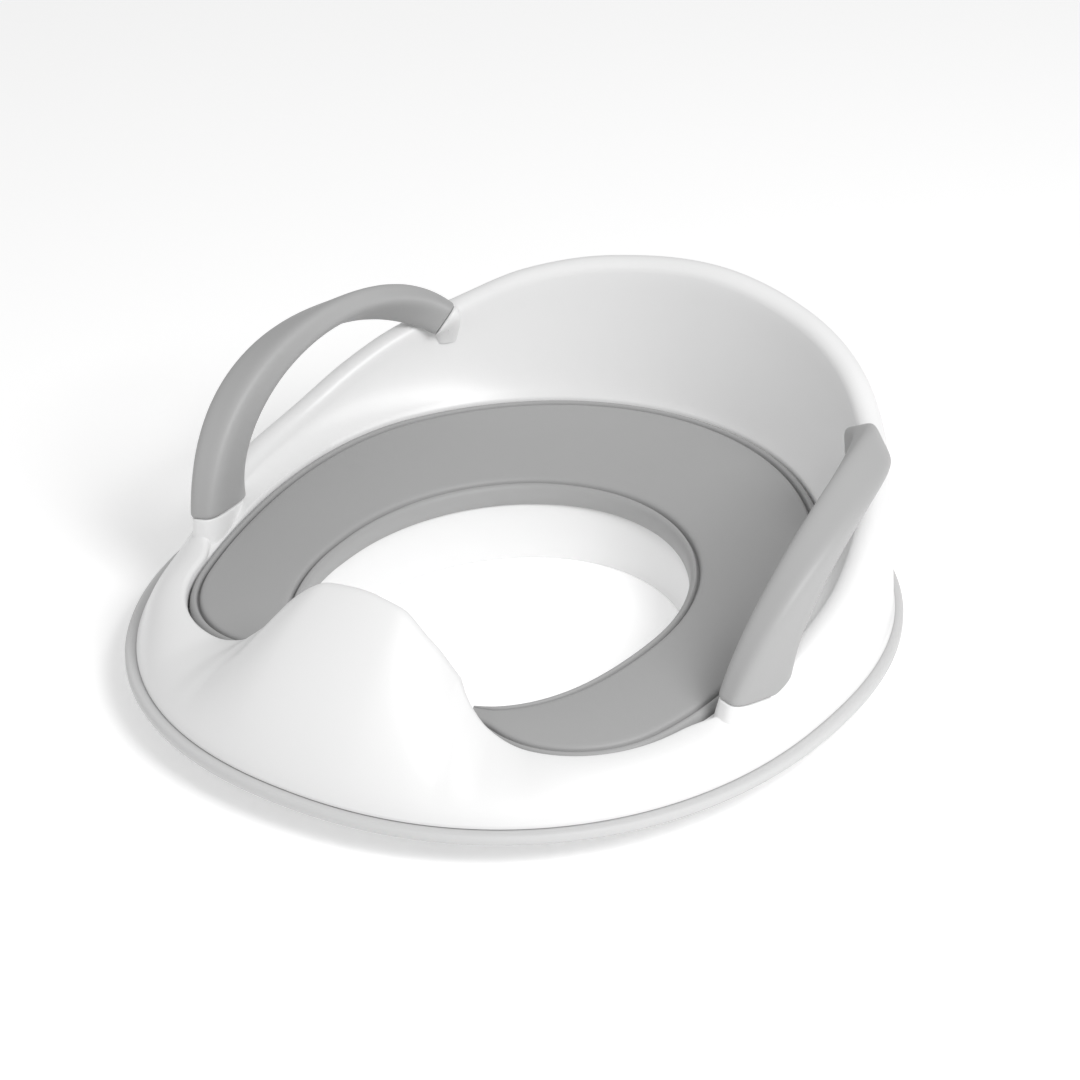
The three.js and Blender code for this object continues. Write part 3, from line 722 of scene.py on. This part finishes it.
def screw_tree(material):
    """Instances one countersunk head with a cross recess on each point it is given."""
    tree = bpy.data.node_groups.new("Countersunk_Screws", "GeometryNodeTree")
    tree.interface.new_socket("Points", in_out="INPUT", socket_type="NodeSocketGeometry")
    for name, value in (("Head Radius", 0.0035), ("Head Height", 0.0016), ("Shank Radius", 0.0017),
                        ("Shank Length", 0.0058), ("Recess Length", 0.0042), ("Recess Width", 0.0008)):
        socket = tree.interface.new_socket(name, in_out="INPUT", socket_type="NodeSocketFloat")
        socket.default_value = value
    tree.interface.new_socket("Screws", in_out="OUTPUT", socket_type="NodeSocketGeometry")
    nodes, links = tree.nodes, tree.links
    entry = nodes.new("NodeGroupInput")
    leave = nodes.new("NodeGroupOutput")

    def add(kind, settings=None, values=None):
        made = nodes.new(kind)
        for key, value in (settings or {}).items():
            setattr(made, key, value)
        for key, value in (values or {}).items():
            if isinstance(value, bpy.types.NodeSocket):
                links.new(value, made.inputs[key])
            else:
                made.inputs[key].default_value = value
        return made

    def raised(mesh, height):
        spot = add("ShaderNodeCombineXYZ", values={"Z": height})
        shift = add("GeometryNodeTransform", values={"Geometry": mesh, "Translation": spot.outputs[0]})
        return shift.outputs[0]

    head = add("GeometryNodeMeshCone", {"fill_type": "NGON"}, {
        "Vertices": 32,
        "Radius Top": entry.outputs["Shank Radius"],
        "Radius Bottom": entry.outputs["Head Radius"],
        "Depth": entry.outputs["Head Height"],
    })
    shank = add("GeometryNodeMeshCylinder", {"fill_type": "NGON"}, {
        "Vertices": 24,
        "Radius": entry.outputs["Shank Radius"],
        "Depth": entry.outputs["Shank Length"],
    })
    half = add("ShaderNodeMath", {"operation": "MULTIPLY"}, {0: entry.outputs["Shank Length"], 1: 0.5})
    lift = add("ShaderNodeMath", {"operation": "ADD"}, {0: half.outputs[0], 1: 0.0015})
    solid = add("GeometryNodeMeshBoolean", {"operation": "UNION", "solver": "EXACT"})
    links.new(head.outputs["Mesh"], solid.inputs["Mesh 2"])
    links.new(raised(shank.outputs["Mesh"], lift.outputs[0]), solid.inputs["Mesh 2"])
    recess = add("GeometryNodeMeshBoolean", {"operation": "DIFFERENCE", "solver": "EXACT"})
    links.new(solid.outputs["Mesh"], recess.inputs["Mesh 1"])
    for sockets in (("Recess Length", "Recess Width"), ("Recess Width", "Recess Length")):
        size = add("ShaderNodeCombineXYZ", values={
            "X": entry.outputs[sockets[0]], "Y": entry.outputs[sockets[1]], "Z": 0.0016,
        })
        bar = add("GeometryNodeMeshCube", values={"Size": size.outputs[0]})
        links.new(bar.outputs["Mesh"], recess.inputs["Mesh 2"])
    spread = add("GeometryNodeInstanceOnPoints", values={
        "Points": entry.outputs["Points"], "Instance": recess.outputs["Mesh"],
    })
    real = add("GeometryNodeRealizeInstances", values={"Geometry": spread.outputs[0]})
    paint = add("GeometryNodeSetMaterial", values={"Geometry": real.outputs[0], "Material": material})
    links.new(paint.outputs[0], leave.inputs[0])
    return tree


def plain_mesh(host, name):
    """The evaluated object as a plain mesh object; the host and its modifier are removed."""
    evaluated = host.evaluated_get(bpy.context.evaluated_depsgraph_get())
    mesh = bpy.data.meshes.new_from_object(evaluated)
    piece = bpy.data.objects.new(name, mesh)
    bpy.context.scene.collection.objects.link(piece)
    bpy.data.objects.remove(host, do_unlink=True)
    return piece


# ---------------------------------------------------------------- settings

def colour(name, description, value):
    return bpy.props.FloatVectorProperty(
        name=name, description=description, default=tuple(value) + (1.0,), size=4, subtype="COLOR",
        min=0.0, max=1.0,
    )


class SeatFinishes(bpy.types.PropertyGroup):
    shell: colour("White moulding", "Colour of the white moulding", (0.83, 0.83, 0.83))
    cushion: colour("Cushion", "Colour of the soft cushion", (0.37, 0.37, 0.37))
    grip: colour("Grips", "Colour of the soft grips", (0.40, 0.40, 0.40))
    rim: colour("Rim", "Colour of the anti-slip rim", (0.60, 0.60, 0.60))
    carrier: colour("Carrier", "Colour of the cushion's stiff carrier", (0.72, 0.72, 0.72))
    steel: colour("Screws", "Colour of the screws", (0.7, 0.71, 0.73))


class SeatDetail(bpy.types.PropertyGroup):
    ring_step: bpy.props.FloatProperty(
        name="Ring step", description="Degrees between sections round the seat", default=1.0,
        min=0.5, max=5.0,
    )
    screw_recess: bpy.props.FloatProperty(
        name="Screw recess", description="Length of the cross recess in a screw's head", default=0.0042,
        unit="LENGTH",
    )


class SeatStage(bpy.types.PropertyGroup):
    azimuth: bpy.props.FloatProperty(
        name="Azimuth", description="Camera's angle round the seat", default=math.radians(33.9),
        unit="ROTATION",
    )
    elevation: bpy.props.FloatProperty(
        name="Elevation", description="Camera's angle above the floor", default=math.radians(29.8),
        unit="ROTATION",
    )
    distance: bpy.props.FloatProperty(
        name="Distance", description="Camera's distance from its target", default=1.971, unit="LENGTH",
    )
    lens: bpy.props.FloatProperty(
        name="Lens", description="Focal length in millimetres", default=133.3, unit="CAMERA",
    )
    key_power: bpy.props.FloatProperty(
        name="Key light", description="Power of the main light, in watts", default=14.0, unit="POWER",
    )
    fill_power: bpy.props.FloatProperty(
        name="Fill light", description="Power of the fill light, in watts", default=2.0, unit="POWER",
    )
    sky: bpy.props.FloatProperty(
        name="Sky", description="Strength of the even studio light", default=0.56, min=0.0,
    )


# ---------------------------------------------------------------- operators

class SEAT_OT_shell(bpy.types.Operator):
    """Builds the white shell with the two bosses in front and the two collars behind the grips"""

    bl_idname = "seat.shell"
    bl_label = "White moulding"

    def execute(self, context):
        white = finish_named("Moulded_White")
        step = context.scene.seat_detail.ring_step
        shell = seat_ring("Main_Moulding", shell_section, step, white, 40)
        declare(shell, BODY, "white_plastic", "body_shell")
        for piece in both_sides("Handle_Boss", boss_loops, white):
            declare(piece, BODY, "white_plastic", "body_shell")
        for piece in both_sides("Handle_Collar", collar_loops, white):
            declare(piece, BODY, "white_plastic", "body_shell")
        return {"FINISHED"}


class SEAT_OT_rim(bpy.types.Operator):
    """Builds the anti-slip rim round the foot of the shell"""

    bl_idname = "seat.rim"
    bl_label = "Anti-slip rim"

    def execute(self, context):
        step = context.scene.seat_detail.ring_step
        rim = seat_ring("Anti_Slip_Rim", rim_section, step, finish_named("Rim_Rubber"), 50)
        declare(rim, BODY, "rim_rubber", "anti_slip_rim")
        return {"FINISHED"}


class SEAT_OT_cushion(bpy.types.Operator):
    """Builds the horseshoe cushion with its rolled edges"""

    bl_idname = "seat.cushion"
    bl_label = "Cushion"

    def execute(self, context):
        set_back = 0.3
        last = set_back - LOBE_LAST
        step = context.scene.seat_detail.ring_step
        inside = [a for a in np.arange(-90.0, 270.0, step) if last + 0.4 < a < 179.6 - last]
        loops = [placed(cushion_section, angle) for angle in [last, *inside, 180 - last]]
        vertices, faces = capped_loops(loops)
        pad = mesh_object("Cushion_Pad", vertices, faces, finish_named("Cushion_Skin"), 50)
        declare(pad, MOVING, "cushion_foam", "cushion_pad")
        return {"FINISHED"}


class SEAT_OT_grips(bpy.types.Operator):
    """Builds the two soft grips over the arched handles"""

    bl_idname = "seat.grips"
    bl_label = "Grips"

    def execute(self, context):
        pieces = both_sides("Grip", grip_loops, finish_named("Grip_Rubber"), 60)
        for piece, node in zip(pieces, ("left_grip", "right_grip")):
            declare(piece, BODY, "grip_rubber", node)
        return {"FINISHED"}


class SEAT_OT_screws(bpy.types.Operator):
    """Puts a countersunk screw at each of the base plate's screw places"""

    bl_idname = "seat.screws"
    bl_label = "Base screws"

    def execute(self, context):
        names = sorted(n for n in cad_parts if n.startswith("base_screw_"))
        if not names:
            raise RuntimeError("the frame has no base screws")
        spots = []
        for name in names:
            low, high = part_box(name)
            spots.append(((low[0] + high[0]) / 2, (low[1] + high[1]) / 2, low[2]))
        mesh = bpy.data.meshes.new("Screw_Places")
        mesh.from_pydata(spots, [], [])
        host = bpy.data.objects.new("Screw_Places", mesh)
        context.scene.collection.objects.link(host)
        modifier = host.modifiers.new("Screws", "NODES")
        tree = screw_tree(finish_named("Screw_Steel"))
        modifier.node_group = tree
        for item in tree.interface.items_tree:
            if item.name == "Recess Length":
                modifier[item.identifier] = context.scene.seat_detail.screw_recess
        screws = plain_mesh(host, "Base_Screws")
        declare(screws, BODY, "steel", *names)
        return {"FINISHED"}


class SEAT_OT_frame_parts(bpy.types.Operator):
    """Gives the base plate, handle cores, handle screws and the cushion's carrier their finishes"""

    bl_idname = "seat.frame_parts"
    bl_label = "Frame parts"

    def execute(self, context):
        finishes = {"base_shell": "Moulded_White", "cushion_carrier": "Carrier_Plastic"}
        for side in ("left", "right"):
            finishes[f"{side}_handle_core"] = "Carrier_Plastic"
            finishes[f"{side}_handle_screw_1"] = "Screw_Steel"
            finishes[f"{side}_handle_screw_2"] = "Screw_Steel"
        for node, name in finishes.items():
            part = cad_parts[node]
            for slot in part.material_slots:
                slot.material = finish_named(name)
        return {"FINISHED"}


class SEAT_OT_stage(bpy.types.Operator):
    """Sets the pale floor, the studio light and the camera"""

    bl_idname = "seat.stage"
    bl_label = "Stage"

    def execute(self, context):
        scene = context.scene
        settings = scene.seat_stage
        graph = Graph("Floor_White")
        shader = graph.node("ShaderNodeBsdfPrincipled", {}, {
            "Base Color": (0.96, 0.96, 0.96, 1.0), "Roughness": 0.9, "Specular IOR Level": 0.1,
            "Emission Color": (1.0, 1.0, 1.0, 1.0), "Emission Strength": FLOOR_GLOW,
        })
        paint = graph.finish(shader)
        mesh = bpy.data.meshes.new("Floor")
        reach = FLOOR_REACH
        level = CAD_BOX[0][2] - 0.0002
        mesh.from_pydata(
            [(-reach, -reach, level), (reach, -reach, level), (reach, reach, level), (-reach, reach, level)],
            [], [(0, 1, 2, 3)],
        )
        mesh.materials.append(paint)
        floor = bpy.data.objects.new("Floor", mesh)
        scene.collection.objects.link(floor)

        world = bpy.data.worlds.new("Studio")
        world.use_nodes = True
        sky = world.node_tree.nodes["Background"]
        sky.inputs["Color"].default_value = (1.0, 1.0, 1.0, 1.0)
        sky.inputs["Strength"].default_value = settings.sky
        scene.world = world

        for name, (place, size), power in (
            ("Key", KEY_LIGHT, settings.key_power),
            ("Fill", FILL_LIGHT, settings.fill_power),
        ):
            lamp = bpy.data.lights.new(name, "AREA")
            lamp.shape = "SQUARE"
            lamp.size = size
            lamp.energy = power
            light = bpy.data.objects.new(name, lamp)
            light.location = place
            aim = Vector(LIGHT_TARGET) - Vector(place)
            light.rotation_euler = aim.to_track_quat("-Z", "Y").to_euler()
            scene.collection.objects.link(light)

        lens = bpy.data.cameras.new("Camera")
        lens.lens = settings.lens
        lens.sensor_width = 36.0
        lens.clip_start = 0.05
        lens.clip_end = 30.0
        camera = bpy.data.objects.new("Camera", lens)
        turn, rise = settings.azimuth, settings.elevation
        back = Vector((math.sin(turn) * math.cos(rise), -math.cos(turn) * math.cos(rise), math.sin(rise)))
        camera.location = Vector(CAMERA_TARGET) + back * settings.distance
        camera.rotation_euler = Euler((math.pi / 2 - rise, 0.0, turn), "XYZ")
        scene.collection.objects.link(camera)
        scene.camera = camera
        scene.view_settings.view_transform = "Standard"
        return {"FINISHED"}


OPERATORS = (
    SEAT_OT_shell, SEAT_OT_rim, SEAT_OT_cushion, SEAT_OT_grips, SEAT_OT_screws, SEAT_OT_frame_parts,
    SEAT_OT_stage,
)


class SEAT_PT_panel(bpy.types.Panel):
    """Lists the steps that build the seat"""

    bl_idname = "SEAT_PT_panel"
    bl_label = "Training seat"
    bl_space_type = "VIEW_3D"
    bl_region_type = "UI"
    bl_category = "Training seat"

    def draw(self, context):
        for settings in (context.scene.seat_finishes, context.scene.seat_detail, context.scene.seat_stage):
            box = self.layout.box()
            for name in settings.__annotations__:
                box.prop(settings, name)
        for operator in OPERATORS:
            self.layout.operator(operator.bl_idname)


GROUPS = {"seat_finishes": SeatFinishes, "seat_detail": SeatDetail, "seat_stage": SeatStage}


def register():
    for group in GROUPS.values():
        bpy.utils.register_class(group)
    for name, group in GROUPS.items():
        setattr(bpy.types.Scene, name, bpy.props.PointerProperty(type=group))
    for operator in OPERATORS:
        bpy.utils.register_class(operator)
    bpy.utils.register_class(SEAT_PT_panel)


def unregister():
    bpy.utils.unregister_class(SEAT_PT_panel)
    for operator in reversed(OPERATORS):
        bpy.utils.unregister_class(operator)
    for name in GROUPS:
        delattr(bpy.types.Scene, name)
    for group in reversed(list(GROUPS.values())):
        bpy.utils.unregister_class(group)


def main():
    register()
    bpy.ops.seat.shell()
    bpy.ops.seat.rim()
    bpy.ops.seat.cushion()
    bpy.ops.seat.grips()
    bpy.ops.seat.screws()
    bpy.ops.seat.frame_parts()
    bpy.ops.seat.stage()


if __name__ == "__main__":
    main()
